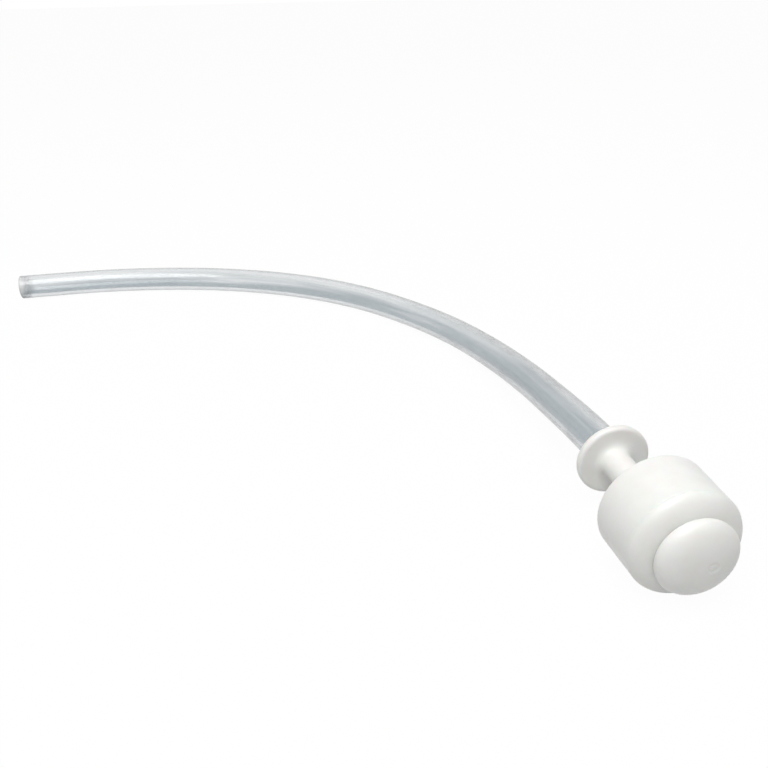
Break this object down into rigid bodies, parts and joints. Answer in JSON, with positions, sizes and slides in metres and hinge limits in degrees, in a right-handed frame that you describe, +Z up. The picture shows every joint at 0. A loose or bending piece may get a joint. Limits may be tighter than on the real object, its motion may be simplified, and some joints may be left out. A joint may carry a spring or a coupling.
{
  "type": "saliva ejector tip",
  "caption": "Clear bent suction tube with a round collar, a narrow neck and a swivelling white barrel head closed by a small round cap.",
  "frame": {"origin": "centre of the tube's bare end face, where it plugs into the chairside suction valve", "axes": "+X along the tube from its bare end into the part, +Z up, head's axis along -Y; the part lies on a table at z = -3.25 mm"},
  "size_m": [0.1283, 0.1629, 0.0173],
  "materials": {
    "clear_pvc": "clear flexible PVC, glossy inside and out",
    "white_moulding": "warm white polypropylene, satin to semi-gloss as moulded",
    "inner_moulding": "natural polypropylene, as moulded",
    "silicone": "translucent grey silicone rubber",
    "steel": "bright stainless steel"
  },
  "bodies": {
    "tube_side": {"suction_tube": "clear_pvc", "stem": "white_moulding", "swivel_washer": "silicone", "retaining_clip": "steel"},
    "head": {"barrel": "white_moulding", "valve_cage": "inner_moulding", "valve_seat": "inner_moulding", "strainer": "steel", "rear_cover": "white_moulding", "cap_grip_ring": "silicone"},
    "flap": {"valve_disc": "silicone"},
    "cap": {"end_cap": "white_moulding"}
  },
  "joints": [
    {"name": "head_swivel", "type": "hinge", "parent": "tube_side", "child": "head", "pos_m": [0.11956, -0.146, 0.00545], "axis": [0, -1, 0], "continuous": true},
    {"name": "valve_lift", "type": "slide", "parent": "head", "child": "flap", "axis": [0, 1, 0], "range_m": [0, 0.0007]},
    {"name": "cap_pull", "type": "slide", "parent": "head", "child": "cap", "axis": [0, -1, 0], "range_m": [0, 0.008]}
  ]
}
